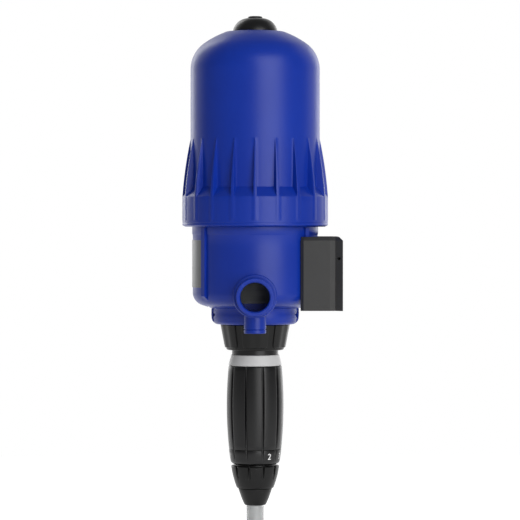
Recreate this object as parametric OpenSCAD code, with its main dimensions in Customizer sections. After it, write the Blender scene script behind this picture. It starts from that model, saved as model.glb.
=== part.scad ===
// Water-powered dosing pump with a ribbed bell, a wall bracket, an adjustable
// dosing stem and a suction hose. Heights are measured from the joint between
// the bell and the lower body. The finished pump is then shifted so that the
// origin is the middle of the bracket's wall face.

/* [Bell] */
// Height of the bell above its joint with the lower body
bell_h = 141; // [137:0.5:146]
// Outer radius of the bell's plain cylinder
bell_r = 46.6; // [46:0.1:48]
// Wall of the bell
bell_wall = 3.6; // [3:0.1:4]
// Radius of the bell's rounded shoulder
shoulder_r = 23; // [20:0.1:24]
// Slope of the crown inside the shoulder
crown_slope = 28; // [22:1:30]
// Radius of the flat top of the crown
crown_r = 20.6; // [19:0.1:22]
// Outer radius of the bell's foot band
band_r = 52.6; // [52:0.1:54]
// Height of the foot band
band_h = 21.5; // [21:0.5:24]
// Wall of the foot band around the body's thread
band_wall = 3.4; // [2.8:0.1:4]
// Chamfer under the foot band
band_chamfer = 2.4; // [1.5:0.1:2.8]
// Number of gussets between the bell's side and its foot band
gusset_count = 20; // [16:2:24]
// Height at which the gussets start
gusset_top = 62; // [54:0.5:68]
// Thickness of a gusset at its foot
gusset_foot_t = 2.5; // [2:0.1:3.2]
// Thickness of a gusset at its top
gusset_top_t = 0.9; // [0.7:0.1:1.4]
// Outward bulge of a gusset's edge
gusset_bulge = 0.7; // [0.4:0.1:1.4]

/* [Lower body] */
// Depth of the lower body from the joint to the foot of its neck
body_h = 70.2; // [69:0.2:74]
// Outer radius of the lower body
body_r = 45.1; // [44.6:0.1:46]
// Wall of the lower body
body_wall = 3.7; // [3:0.1:4.2]
// Height of the slightly larger collar under the joint
collar_h = 5; // [4:0.1:8]
// Step of the collar over the body's side
collar_step = 0.4; // [0.2:0.1:0.8]
// Length of the body's threaded mouth inside the bell
mouth_h = 16.5; // [14:0.5:18]
// Outside rounding between the body's side and floor
body_corner_r = 9.7; // [8:0.1:11]
// Slope of the floor from the rounding to the neck
floor_slope = 18; // [14:1:22]
// Radius of the neck under the floor
neck_r = 30.6; // [30:0.1:32]
// Depth of the groove around the neck
neck_groove = 2.2; // [1.4:0.1:2.6]
// Height of the neck
neck_h = 11.6; // [11:0.1:13]
// Half width of the two lugs that fill the neck groove
neck_lug_half = 5; // [4:0.5:7]
// Thickness of a bracket fin
fin_t = 4; // [3:0.1:5]
// Height of a bracket fin over the body's side
fin_h = 1.8; // [1.2:0.1:2]
// Angle of the bracket fins from the outlet
fin_angle = 52.6; // [50:0.2:55]
// Length of a bracket fin
fin_l = 50; // [45:0.5:50]

/* [Ports] */
// Depth of the port axis under the joint
port_depth = 49; // [48:0.5:52]
// Distance of a port's tip from the pump axis
port_reach = 72; // [68:0.5:80]
// Outer radius of the threaded spigot, a three-quarter-inch pipe thread
port_r = 13.22; // [13:0.01:13.5]
// Bore radius of a port
port_bore = 10.35; // [9.5:0.05:10.6]
// Radius of the plain boss at the foot of a port
boss_r = 15.6; // [15:0.1:16.5]
// Distance of the boss face from the pump axis
boss_reach = 46.8; // [46.2:0.1:49]
// Radius of the blind stub under the outlet
stub_r = 7.85; // [7:0.05:8.5]
// Distance of the stub from the pump axis
stub_reach = 38.8; // [37:0.1:38.9]
// Depth of the stub's foot under the joint
stub_depth = 75.4; // [74:0.2:80]

/* [Wall bracket] */
// Distance from the wall to the pump axis
wall_distance = 62.3; // [60:0.1:68]
// Height of the bracket
bracket_h = 52.6; // [46:0.2:54]
// Depth of the bracket's top edge under the joint
bracket_drop = 7.1; // [6:0.1:9]
// Half width across the bracket's cheeks
cheek_half = 34.5; // [34:0.1:35.5]
// Depth of a cheek from the wall
cheek_l = 30.5; // [29:0.1:31]
// Thickness of a cheek
cheek_t = 6.4; // [5.6:0.1:7]
// Half width of the wall plate
plate_half = 37.5; // [36.5:0.5:42]
// Thickness of the wall plate
plate_t = 5.4; // [4.6:0.1:6]
// Bevel around a cheek
cheek_bevel = 2.6; // [1.6:0.1:2.8]
// How far the cheeks fall back before they flare out to the plate
cheek_dip = 1.3; // [0.6:0.1:1.8]
// Width of the face that falls back
dip_w = 3.8; // [3:0.1:5]
// Hole spacing across the wall plate
screw_span_y = 36; // [30:1:38]
// Hole spacing up the wall plate
screw_span_z = 34; // [30:1:36]
// Radius of a wall screw hole
screw_hole_r = 2.6; // [2.1:0.1:3.2]
// Thickness of the shelf between the cheeks
shelf_t = 3; // [2:0.5:4]
// Radius of the tether hole in the plate's edge
tether_hole_r = 1.1; // [0.8:0.1:1.4]
// Distance of the tether hole below the bracket's top
tether_hole_z = 15.4; // [12:0.2:20]
// Depth of the tether hole
tether_hole_l = 8; // [5:0.5:12]

/* [Bleed button] */
// Outer radius of the button
button_r = 16.1; // [15.4:0.1:16.6]
// Height of the button's rounded cap over the crown
button_h = 9.1; // [8.8:0.1:11]
// Radius of the rounding of the cap
button_round = 11.3; // [10.6:0.1:12]
// Radius of the nub on the button
nub_r = 5.3; // [4:0.1:6]
// Height of the nub on the button
nub_h = 1.5; // [1.2:0.1:2.4]
// Travel of the button
button_travel = 3; // [2:0.1:3.2]
// Depth of the button's seat in the crown
button_seat = 4.1; // [3.9:0.1:4.6]
// Radius of the bleed stem
bleed_stem_r = 2.5; // [2:0.1:2.8]

/* [Motor] */
// Stroke of the motor piston
stroke = 40; // [34:1:40]
// Thickness of the large piston
piston_t = 10; // [9:0.5:11]
// Height of the large piston's underside over the joint at the bottom of the stroke
piston_z = 22; // [21.8:0.2:24]
// Outer radius of the piston's hub
hub_r = 18; // [17.5:0.5:19]
// Wall of the piston's hub
hub_wall = 2.5; // [2:0.1:3]
// Bore radius of the liner in which the small piston runs
liner_bore = 24; // [23.6:0.1:24.4]
// Wall of the liner
liner_wall = 3; // [2.5:0.1:3.4]
// Height of the liner's flange over the joint
liner_top = 13; // [11:0.5:13]
// Pitch of the liner's outer ribs
liner_rib_pitch = 4; // [3:0.5:6]
// Thickness of the small piston
small_piston_t = 8; // [7:0.5:9]
// Depth of the small piston's underside at the bottom of the stroke
small_piston_depth = 48; // [46:0.5:50]

/* [Valve gear] */
// Travel of the trip rod in the piston
trip_travel = 6; // [5:0.5:6.5]
// Travel of the valve carrier in the piston
valve_travel = 4; // [3:0.5:4]
// Radius of the trip rod
trip_rod_r = 3; // [2.6:0.1:3.2]
// Distance from the trip rod to a rocker's pin
rocker_arm = 14; // [13:0.5:14.5]
// Thickness of a rocker
rocker_t = 3; // [2.5:0.1:3.2]
// Height of the rocker pins over the piston
rocker_rise = 28; // [27:0.5:30]
// Distance of a valve from the pump axis
valve_ring_r = 28; // [27.8:0.1:28.4]
// Radius of a valve head
valve_head_r = 6.5; // [6:0.1:6.6]
// Radius of a valve port in the piston
valve_port_r = 4.8; // [4:0.1:5]

/* [Dosing stem] */
// Height of the ring nut
ring_nut_h = 18.5; // [18:0.1:20]
// Radius of the ring nut at its top
ring_nut_r = 25.2; // [24.4:0.1:26]
// Radius of the ring nut at its foot
ring_nut_foot_r = 21.7; // [21.5:0.1:23]
// Height of a pad on the ring nut
pad_h = 0.9; // [0.6:0.1:1]
// Height of the stem's neck under the ring nut
stem_neck_h = 3.5; // [2.5:0.1:5]
// Radius of the stem's neck
stem_neck_r = 16.7; // [16.3:0.1:17.2]
// Height of the lock ring
lock_h = 8; // [7:0.1:10]
// Radius of the lock ring at its top
lock_top_r = 17.5; // [17.2:0.1:18.4]
// Radius of the lock ring at its foot
lock_foot_r = 19.2; // [18.6:0.1:20]
// Radius of the stem inside the sleeve
stem_r = 15; // [14.8:0.05:15.2]
// Radius of the thread at the stem's foot
stem_thread_r = 13.4; // [13.2:0.05:13.6]
// Bore radius of the stem
stem_bore = 12.2; // [12:0.05:12.3]

/* [Adjusting sleeve] */
// Height of the adjusting sleeve
sleeve_h = 59.9; // [58:0.1:64]
// Radius of the sleeve at its top
sleeve_top_r = 19.2; // [18.8:0.1:20]
// Radius of the sleeve at its foot
sleeve_foot_r = 18.9; // [18.4:0.1:19.6]
// Bulge of the sleeve's barrel
sleeve_bulge = 1.45; // [0.8:0.05:2]
// Number of grip grooves
grip_count = 10; // [8:1:12]
// Width of a grip groove
grip_w = 2.2; // [1.6:0.1:2.6]
// Distance of a groove's floor from the axis
grip_floor_r = 17.6; // [17.4:0.1:18]
// Angle of the first grip groove from the outlet
grip_angle = 17; // [0:1:35]
// Height of the scale ring
scale_h = 11.2; // [10:0.1:14]
// Radius of the scale ring at its foot
scale_foot_r = 17.5; // [16.8:0.1:18]
// Travel of the dosing cylinder
dose_travel = 12; // [8:0.5:12]

/* [Suction end] */
// Height of the retaining nut
retainer_h = 16.3; // [16:0.1:18]
// Radius of the retaining nut at its top
retainer_r = 17.3; // [17:0.1:18]
// Radius of the retaining nut at its foot
retainer_foot_r = 13.6; // [13.3:0.1:14.5]
// Distance of the retaining nut's groove floors from the axis
retainer_floor_r = 14.9; // [14.6:0.1:15.2]
// Angle of the retaining nut's first groove from the outlet
retainer_angle = 20.6; // [0:0.2:36]
// Height of the hose nut
hose_nut_h = 12; // [11:0.1:14]
// Radius of the hose nut at its top
hose_nut_r = 12.2; // [11.6:0.1:12.6]
// Radius of the hose nut at its foot
hose_nut_foot_r = 8.6; // [7.9:0.1:9]
// Opening of the check valve
check_travel = 2.5; // [1.5:0.1:2.8]
// Outer diameter of the suction hose
hose_d = 12.7; // [12:0.1:13]

/* [Fits] */
// Running clearance between a shaft and its bore
running_gap = 0.1; // [0.06:0.01:0.15]
// Clearance between pieces that only sit beside each other
free_gap = 0.3; // [0.2:0.05:0.4]
// Clearance of an inner piece in its seat
seat_gap = 0.05; // [0.02:0.01:0.1]

/* [Hidden] */
$fn = 96;

// Small amount by which a cutter runs past a face
eps = 0.5;
// More than the radius of anything
far = 80;

// Bell
bell_bore = bell_r - bell_wall;
shoulder_x = bell_r - shoulder_r;
shoulder_top = 90 - crown_slope;
crown_rise = shoulder_r * sin(shoulder_top)
    + (shoulder_x + shoulder_r * cos(shoulder_top) - crown_r) * tan(crown_slope);
shoulder_z = bell_h - crown_rise;
thread_bore = band_r - band_wall;
mouth_r = thread_bore - free_gap;
band_ledge_h = (band_r - bell_r) + 1;
crown_boss_r = button_r + bell_wall;
crown_floor = bell_h - button_seat;
crown_boss_z = crown_floor - 4;
strike_ring_r = 10;
strike_ring_bore = 7.6;

// Lower body
cavity_r = body_r - body_wall;
corner_x = body_r - body_corner_r;
neck_top = -body_h + neck_h;
floor_foot_r = neck_r + 1.2;
corner_end_x = corner_x + body_corner_r * sin(floor_slope);
corner_z = neck_top + body_corner_r * cos(floor_slope) + (corner_end_x - floor_foot_r) * tan(floor_slope);
floor_z = neck_top + 4;
recess_r = neck_r - neck_groove - 2.2;
recess_z = -body_h + 4.2;
spigot_r = 20;
spigot_bore = 16;
spigot_h = 10;
fin_z = -0.4;
port_z = -port_depth;

// Wall bracket
dip_x = wall_distance - plate_t;
screw_seat_r = screw_hole_r + 2.4;
screw_seat_depth = 1.2;

// Bleed button
button_ceiling = bell_h + 6.5;

// Motor
piston_r = bell_bore - 0.6;
piston_top = piston_z + piston_t;
hub_bore = hub_r - hub_wall;
hub_port_r = 4;
small_piston_r = liner_bore - 0.4;
small_piston_z = -small_piston_depth;
small_piston_top = small_piston_z + small_piston_t;
liner_r = liner_bore + liner_wall;
liner_spigot_r = recess_r - 0.15;

// Valve gear
rocker_z = piston_top + rocker_rise;
rocker_swing = 2 * atan(trip_travel / 2 / rocker_arm);
rocker_out = valve_travel / 2 / sin(rocker_swing / 2);
rocker_pin_r = 1.5;
rocker_gap = 0.4;
rocker_y = trip_rod_r + rocker_gap;
cage_y = rocker_y + rocker_t + 0.6;
cage_t = 2.5;
cage_x = rocker_arm + 5;
cage_base_r = cage_x + 2;
cage_base_t = 2;
carrier_z = piston_top + 8;
carrier_t = 3;
carrier_in_r = valve_ring_r - 4;
carrier_out_r = valve_ring_r + 5;
lug_x = rocker_arm + rocker_out * cos(rocker_swing / 2);
lug_pin_z = rocker_z - rocker_out * sin(rocker_swing / 2);
strike_z = crown_boss_z - 10.6;
trip_top = strike_z - free_gap - stroke + trip_travel;
prong_x = 10;
prong_r = 2;

// Stack of the dosing stem, each level under the one before it
nut_top = -body_h - seat_gap;
nut_foot = nut_top - ring_nut_h;
lock_top = nut_foot - stem_neck_h;
lock_foot = lock_top - lock_h;
sleeve_top = lock_foot - 2 * running_gap;
sleeve_foot = sleeve_top - sleeve_h;
scale_foot = sleeve_foot - scale_h;
retainer_top = scale_foot - 0.8;
retainer_foot = retainer_top - retainer_h;
hose_nut_top = retainer_foot - free_gap;
hose_nut_foot = hose_nut_top - hose_nut_h;

flange_top = -body_h - spigot_h - seat_gap;
flange_t = 3.6;
flange_foot = flange_top - flange_t;
pilot_top = flange_top + 6.4;
bridge_t = 2.4;
stem_step = scale_foot + 6.5;
stem_foot = retainer_top - 6.7;
gasket_foot = stem_foot - 1;
valve_flange_foot = gasket_foot - 2;
nipple_foot = hose_nut_top - 5.2;
valve_seat_z = gasket_foot + 1;
valve_tube_top = stem_foot + 8;
valve_cap_t = 1.5;
poppet_r = 5.8;
poppet_t = 2;
poppet_foot = valve_seat_z + seat_gap;

// Dosing cylinder and plunger
cylinder_r = stem_bore - 2 * running_gap;
cylinder_bore = 8.6;
cylinder_foot = stem_step - 1;
cylinder_h = 60;
plunger_foot = cylinder_foot + 8;
plunger_h = 8;
plunger_r = cylinder_bore - 0.4;
rod_r = 3.5;
lug_z = cylinder_foot + 18;
lug_h = 5;
lug_half = 2.7;
relief_r = stem_r + 1.2;

// Suction hose, in the frame of the finished part
hose_x = -wall_distance;
coil_r = 70;
coil_z = -304;
layer = hose_d + 0.2;
tail_x = -20.4;
hose_drop = [
    [0, -161.6], [0, -175], [0, -185], [0, -195], [-2, -210.5], [-8, -225], [-17.5, -237.5],
    [-30, -247], [-40, -252], [-52.5, -261.5], [-62, -274], [-68, -288.5], [-70, -304]
];
strainer_top = -316;
mount_rise = bracket_drop + bracket_h / 2;

// Points of an arc about a centre, from one angle to another
function arc(cx, cy, r, a0, a1, n) = [
    for (i = [0:n]) let (a = a0 + (a1 - a0) * i / n) [cx + r * cos(a), cy + r * sin(a)]
];

// Points of a shallow arch between two points, bulging to the right of the way from p to q
function arch(p, q, bulge, n) =
    let (
        d = q - p,
        len = norm(d),
        side = [d[1], -d[0]] / len
    )
    [for (i = [0:n]) let (t = i / n) p + d * t + side * 4 * bulge * t * (1 - t)];

module placed() translate([-wall_distance, 0, mount_rise]) children();

module tube(z0, z1, r_out, r_in) {
    translate([0, 0, z0]) difference() {
        cylinder(h = z1 - z0, r = r_out);
        translate([0, 0, -eps]) cylinder(h = z1 - z0 + 2 * eps, r = r_in);
    }
}

module rod(z0, z1, r) translate([0, 0, z0]) cylinder(h = z1 - z0, r = r);

module cross_rod(x, y0, y1, z, r) translate([x, y0, z]) rotate([-90, 0, 0]) cylinder(h = y1 - y0, r = r);

module o_ring(z, r, section) rotate_extrude() translate([r, z]) circle(r = section, $fn = 32);

module coil_spring(z0, z1, r, wire, turns) {
    pitch = (z1 - z0 - 2 * wire) / turns;
    for (i = [0:turns]) o_ring(z0 + wire + i * pitch, r, wire);
}

// Bell
module bell_outline(inset) {
    r = shoulder_r - inset;
    tip_x = shoulder_x + r * cos(shoulder_top);
    tip_z = shoulder_z + r * sin(shoulder_top);
    top_x = crown_r - inset * tan(crown_slope / 2);
    polygon(concat(
        [[0, mouth_h], [bell_r - inset, mouth_h]],
        arc(shoulder_x, shoulder_z, r, 0, shoulder_top, 16),
        [[top_x, tip_z + (tip_x - top_x) * tan(crown_slope)], [0, tip_z + (tip_x - top_x) * tan(crown_slope)]]
    ));
}

module bell_foot_outline() {
    polygon([
        [thread_bore - 1, 0], [band_r - band_chamfer, 0], [band_r, band_chamfer], [band_r, band_h],
        [bell_r, band_h + band_ledge_h], [bell_bore - 1, band_h + band_ledge_h], [bell_bore - 1, mouth_h - 1],
        [thread_bore - 1, mouth_h - 1]
    ]);
}

module gusset_outline() {
    edge = arch([band_r, band_h - 1], [bell_r - 0.2, gusset_top], gusset_bulge, 10);
    polygon(concat([[bell_bore + 1, band_h - 1]], edge, [[bell_bore + 1, gusset_top]]));
}

module gusset_wedge() {
    h = gusset_top - band_h + 1;
    translate([bell_bore + 1, 0, band_h - 1]) rotate([90, 0, 90]) linear_extrude(band_r - bell_bore)
        polygon([
            [-gusset_foot_t / 2, 0], [gusset_foot_t / 2, 0],
            [gusset_top_t / 2, h], [-gusset_top_t / 2, h]
        ]);
}

module bell_housing() {
    color("mediumblue") placed() difference() {
        union() {
            difference() {
                rotate_extrude() {
                    bell_outline(0);
                    bell_foot_outline();
                }
                rotate_extrude() bell_outline(bell_wall);
            }
            intersection() {
                rotate_extrude() gusset_outline();
                for (i = [0:gusset_count - 1]) rotate([0, 0, -90 + i * 360 / gusset_count]) gusset_wedge();
            }
            rod(crown_boss_z, bell_h - eps, crown_boss_r);
            tube(strike_z, crown_boss_z + eps, strike_ring_r, strike_ring_bore);
        }
        rod(-eps, mouth_h, thread_bore);
        rod(crown_floor, bell_h + eps, button_r + free_gap);
        rod(crown_boss_z - eps, crown_floor + eps, bleed_stem_r + running_gap);
        for (a = [0:90:270]) rotate([0, 0, a])
            translate([strike_ring_bore - 2, -2.5, strike_z + 3]) cube([6, 5, 6]);
    }
}

// Lower body
module body_outline() {
    polygon(concat(
        [[spigot_bore, mouth_h], [mouth_r, mouth_h], [mouth_r, 1], [body_r + collar_step, 0.5],
         [body_r + collar_step, -collar_h], [body_r + collar_step / 2, -collar_h - 0.2]],
        arc(corner_x, corner_z, body_corner_r, 0, floor_slope - 90, 10),
        [[floor_foot_r, neck_top], [neck_r, neck_top - 0.3], [neck_r - neck_groove, neck_top - 4.4],
         [neck_r, neck_top - 8.6], [neck_r, -body_h + 1.8], [neck_r - 3.4, -body_h],
         [spigot_r, -body_h], [spigot_r, -body_h - spigot_h], [spigot_bore, -body_h - spigot_h]]
    ));
}

module cavity_outline() {
    inner_r = body_corner_r - body_wall;
    polygon(concat(
        [[0, mouth_h + eps], [cavity_r, mouth_h + eps]],
        arc(cavity_r - inner_r, floor_z + inner_r, inner_r, 0, -90, 8),
        [[recess_r, floor_z], [recess_r, recess_z], [0, recess_z]]
    ));
}

module fins(grow) {
    for (a = [fin_angle, 180 - fin_angle, 180 + fin_angle, -fin_angle]) rotate([0, 0, a - 90])
        translate([0, fin_t / 2 + grow, 0]) rotate([90, 0, 0]) linear_extrude(fin_t + 2 * grow)
            polygon([
                [cavity_r + 1, fin_z + grow], [body_r + fin_h + grow, fin_z + grow],
                [body_r + fin_h + grow, -fin_l - grow], [cavity_r + 1, -fin_l - fin_h * 2 - grow]
            ]);
}

module ports() {
    for (a = [0, 180]) rotate([0, 0, a]) translate([0, 0, port_z]) rotate([90, 0, 0]) {
        cylinder(h = port_reach, r = port_r);
        cylinder(h = boss_reach, r = boss_r);
    }
    translate([0, -stub_reach, -stub_depth]) {
        cylinder(h = 2.8, r1 = stub_r - 0.7, r2 = stub_r);
        translate([0, 0, 2.8]) cylinder(h = stub_depth - port_depth - 2.8, r = stub_r);
    }
}

module lower_body() {
    color("mediumblue") placed() difference() {
        union() {
            rotate_extrude() body_outline();
            difference() {
                union() {
                    ports();
                    fins(0);
                    for (s = [-1, 1]) intersection() {
                        rod(-body_h + 0.8, neck_top + 1, floor_foot_r);
                        translate([s * neck_r, 0, -body_h])
                            cube([8, 2 * neck_lug_half, 2 * neck_h], center = true);
                    }
                }
                rod(-stub_depth, mouth_h, neck_r - neck_groove - 0.6);
            }
        }
        rotate_extrude() cavity_outline();
        rod(-body_h - spigot_h - eps, recess_z + eps, spigot_bore);
        for (a = [0, 180]) rotate([0, 0, a])
            translate([0, -liner_r - 4, port_z]) rotate([90, 0, 0]) cylinder(h = port_reach, r = port_bore);
        tube(mouth_h - 2.2, mouth_h + eps, mouth_r - 1.9, mouth_r - 4.4);
    }
}

module bell_seal() {
    color("black") placed() o_ring(mouth_h - 1.1, mouth_r - 3.15, 1.05);
}

// Wall bracket: cheeks that clip over the fins, a shelf and a screwed plate
module both_sides() {
    children();
    mirror([0, 1, 0]) children();
}

// Bar that bevels a top edge between two points of a plan
module bevel_bar(p, q, z) {
    d = q - p;
    middle = (p + q) / 2;
    translate([middle[0], middle[1], z]) rotate([0, 0, atan2(d[1], d[0])]) rotate([45, 0, 0])
        cube([norm(d) + 2 * cheek_bevel, cheek_bevel * sqrt(2), cheek_bevel * sqrt(2)], center = true);
}

// Upright block from a plan, with its top bevelled along the edges that start at the given points
module bevelled(points, z0, z1, edges) {
    difference() {
        translate([0, 0, z0]) linear_extrude(z1 - z0) polygon(points);
        for (i = edges) bevel_bar(points[i], points[i + 1], z1);
    }
}

module bracket_block(z0, z1) {
    face_x = wall_distance - plate_t;
    front = cheek_bevel - cheek_half;
    near_x = wall_distance - cheek_l;
    bevelled([
        [near_x - 4, front], [near_x, front], [near_x + cheek_bevel, -cheek_half],
        [face_x - eps, -cheek_half],
        [face_x - eps, cheek_half], [near_x + cheek_bevel, cheek_half], [near_x, -front], [near_x - 4, -front]
    ], z0, z1, [2, 4]);
    bevelled([
        [near_x + cheek_l / 2, -plate_half], [wall_distance, -plate_half],
        [wall_distance, plate_half], [near_x + cheek_l / 2, plate_half]
    ], z0, z1, [0:2]);
}

// Space in front of a cheek's dip and of the plate's flare
module dip_space(z0, z1) {
    near_x = wall_distance - cheek_l;
    translate([0, 0, z0 - eps]) linear_extrude(z1 - z0 + 2 * eps) polygon([
        [near_x, -cheek_half], [dip_x - dip_w, -cheek_half], [dip_x, cheek_dip - cheek_half],
        [wall_distance, -plate_half], [wall_distance, -far], [near_x, -far]
    ]);
}

module wall_bracket() {
    z0 = -bracket_drop - bracket_h;
    z1 = -bracket_drop;
    mid = z0 + bracket_h / 2;
    inner_half = cheek_half - cheek_t;
    face_x = wall_distance - plate_t;
    color("#2b2b2b") placed() difference() {
        bracket_block(z0, z1);
        both_sides() dip_space(z0, z1);
        difference() {
            translate([0, -inner_half, z0 - eps]) cube([face_x, 2 * inner_half, bracket_h + 2 * eps]);
            translate([0, -inner_half, mid - shelf_t / 2]) cube([far, 2 * inner_half, shelf_t]);
        }
        rod(z0 - eps, z1 + eps, body_r + collar_step + running_gap);
        fins(running_gap);
        both_sides() translate([wall_distance - plate_t / 2, -plate_half - eps, z1 - tether_hole_z])
            rotate([-90, 0, 0]) cylinder(h = tether_hole_l + eps, r = tether_hole_r);
        for (y = [-1, 1], z = [-1, 1])
            translate([wall_distance + eps, y * screw_span_y / 2, mid + z * screw_span_z / 2])
                rotate([0, -90, 0]) {
                    cylinder(h = plate_t + 2 * eps, r = screw_hole_r);
                    translate([0, 0, plate_t + eps - screw_seat_depth])
                        cylinder(h = screw_seat_depth + eps, r = screw_seat_r);
                }
    }
}

// Liner in which the small piston runs
module piston_liner() {
    rib_count = floor((liner_top - 6 - floor_z) / liner_rib_pitch);
    color("#202020") placed() difference() {
        union() {
            rod(floor_z - 7.4, liner_top, liner_spigot_r);
            rod(floor_z, liner_top, liner_r);
            rod(floor_z, floor_z + 2.4, liner_r + 2.4);
            rod(liner_top - 3, liner_top, cavity_r - free_gap);
            for (i = [1:rib_count]) translate([0, 0, floor_z + i * liner_rib_pitch])
                rod(0, 1.2, liner_r + 1.5);
        }
        rod(floor_z - 8, liner_top + eps, liner_bore);
        tube(floor_z - 4.4, floor_z - 2.4, liner_r + 4, liner_spigot_r - 1.1);
        for (i = [0:7]) rotate([0, 0, 22.5 + i * 45])
            translate([(liner_r + cavity_r) / 2, 0, liner_top - 4]) cylinder(h = 5, r = 4.4);
    }
}

module liner_seal() {
    color("black") placed() o_ring(floor_z - 3.4, liner_spigot_r - 0.45, 0.6);
}

// Bleed valve in the crown
module bleed_button() {
    tilt = 10;
    shoulder = button_r - button_round * cos(tilt);
    cap_z = bell_h + button_h - button_round * cos(tilt);
    skirt_z = crown_floor + button_travel + free_gap;
    color("#1c1c1c") placed() difference() {
        rotate_extrude() {
            polygon(concat(
                [[0, skirt_z], [button_r, skirt_z]],
                arc(shoulder, cap_z, button_round, tilt, 90 - tilt, 12),
                [[nub_r, bell_h + button_h], [nub_r, bell_h + button_h + nub_h - 0.7],
                 [nub_r - 0.7, bell_h + button_h + nub_h], [0, bell_h + button_h + nub_h]]
            ));
        }
        difference() {
            union() {
                rod(skirt_z - eps, button_ceiling - 4, button_r - 2.4);
                rod(skirt_z - eps, button_ceiling, button_r - 5);
            }
            rod(button_ceiling - 3.6, button_ceiling + 1, bleed_stem_r + 1.4);
        }
        rod(skirt_z, button_ceiling, bleed_stem_r + seat_gap);
    }
}

module bleed_stem() {
    color("silver") placed() difference() {
        union() {
            rod(crown_boss_z - 3.2, button_ceiling - seat_gap, bleed_stem_r);
            rod(crown_boss_z - 3.4, crown_boss_z - 0.6, 5.6);
        }
        tube(crown_boss_z - 1.8, crown_boss_z, 5, 3.3);
    }
}

module bleed_seal() {
    color("black") placed() o_ring(crown_boss_z - 0.95, 4.15, 0.8);
}

module bleed_spring() {
    color("silver") placed() coil_spring(crown_floor + seat_gap, button_ceiling - seat_gap, 5.4, 0.5, 5);
}

// Motor piston
module piston_body() {
    color("#303030") placed() difference() {
        union() {
            rod(piston_z, piston_top, piston_r);
            rod(small_piston_top, piston_z + eps, hub_r);
        }
        rod(small_piston_top - eps, piston_z + 2, hub_bore);
        rod(piston_z, piston_top + eps, trip_rod_r + running_gap);
        tube(piston_z + 3, piston_top - 3, piston_r + 2, piston_r - 3);
        tube(piston_z - eps, piston_z + 2.5, piston_r - 3.6, valve_ring_r + valve_head_r + 0.6);
        for (a = [45:90:315]) rotate([0, 0, a]) translate([valve_ring_r, 0, piston_z - eps])
            cylinder(h = piston_t + 2 * eps, r = valve_port_r);
        for (a = [90, 270]) rotate([0, 0, a]) translate([hub_bore / 2, 0, small_piston_top + hub_port_r + 2])
            rotate([0, 90, 0]) cylinder(h = hub_r, r = hub_port_r);
    }
}

module piston_seal() {
    color("black") placed() tube(piston_z + 3 + seat_gap, piston_top - 3 - seat_gap,
        bell_bore - running_gap, piston_r - 3 + seat_gap);
}

module small_piston() {
    groove = small_piston_z + 2.5;
    color("#303030") placed() difference() {
        union() {
            rod(small_piston_z, small_piston_top, small_piston_r);
            rod(small_piston_top - eps, small_piston_top + 3, hub_bore - seat_gap);
        }
        tube(groove, small_piston_top - 2.5, small_piston_r + 2, small_piston_r - 2.4);
        rod(small_piston_z - eps, small_piston_top + 4, rod_r + seat_gap);
        for (s = [-1, 1]) {
            translate([s * prong_x, 0, 0])
                rod(small_piston_z - eps, small_piston_top + 4, prong_r + running_gap);
            translate([0, s * prong_x, 0]) rod(small_piston_z - eps, small_piston_top + 4, 4);
        }
    }
}

module small_piston_seal() {
    color("black") placed() tube(small_piston_z + 2.5 + seat_gap, small_piston_top - 2.5 - seat_gap,
        liner_bore - running_gap, small_piston_r - 2.4 + seat_gap);
}

// Dosing plunger
module plunger_rod() {
    color("silver") placed() {
        rod(plunger_foot + 1, small_piston_top + 3, rod_r);
        rod(small_piston_top + 3, small_piston_top + 5, rod_r + 2);
    }
}

module plunger() {
    color("#303030") placed() difference() {
        rod(plunger_foot, plunger_foot + plunger_h, plunger_r);
        rod(plunger_foot + 1 - seat_gap, plunger_foot + plunger_h + eps, rod_r + seat_gap);
        tube(plunger_foot + 3, plunger_foot + 5, plunger_r + 2, plunger_r - 1.4);
    }
}

module plunger_seal() {
    color("black") placed() tube(plunger_foot + 3 + seat_gap, plunger_foot + 5 - seat_gap,
        cylinder_bore - running_gap, plunger_r - 1.4 + seat_gap);
}

// Over-centre valve gear on the motor piston
module valve_cage() {
    color("#4a4a4a") placed() difference() {
        union() {
            rod(piston_top, piston_top + cage_base_t, cage_base_r);
            for (s = [-1, 1]) translate([-cage_x, s * (cage_y + cage_t / 2) - cage_t / 2, piston_top])
                cube([2 * cage_x, cage_t, rocker_rise + 5]);
        }
        rod(piston_top - eps, piston_top + cage_base_t + eps, trip_rod_r + running_gap);
        for (s = [-1, 1]) {
            translate([0, 0, rocker_z])
                cross_rod(s * rocker_arm, -cage_y - 2 * cage_t, cage_y + 2 * cage_t, 0,
                    rocker_pin_r + seat_gap);
            translate([-rocker_arm + 5, s * (cage_y + cage_t / 2) - cage_t, piston_top + 8])
                cube([2 * rocker_arm - 10, 2 * cage_t, rocker_rise - 14]);
        }
        for (a = [45:90:315]) rotate([0, 0, a]) translate([valve_ring_r, 0, piston_top - eps])
            cylinder(h = cage_base_t + 2 * eps, r = valve_head_r + free_gap);
    }
}

module pivot_pins() {
    color("silver") placed()
        for (x = [-rocker_arm, rocker_arm])
            cross_rod(x, -cage_y - cage_t, cage_y + cage_t, rocker_z, rocker_pin_r);
}

module toggle_springs() {
    wire = 0.6;
    color("silver") placed()
        for (s = [-1, 1]) translate([s * rocker_arm, 0, rocker_z]) rotate([90, 0, 0])
            for (i = [0:5]) o_ring(s * (rocker_y - 0.2 - wire - i * 1.9 * wire), rocker_pin_r + 1.2, wire);
}

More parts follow.
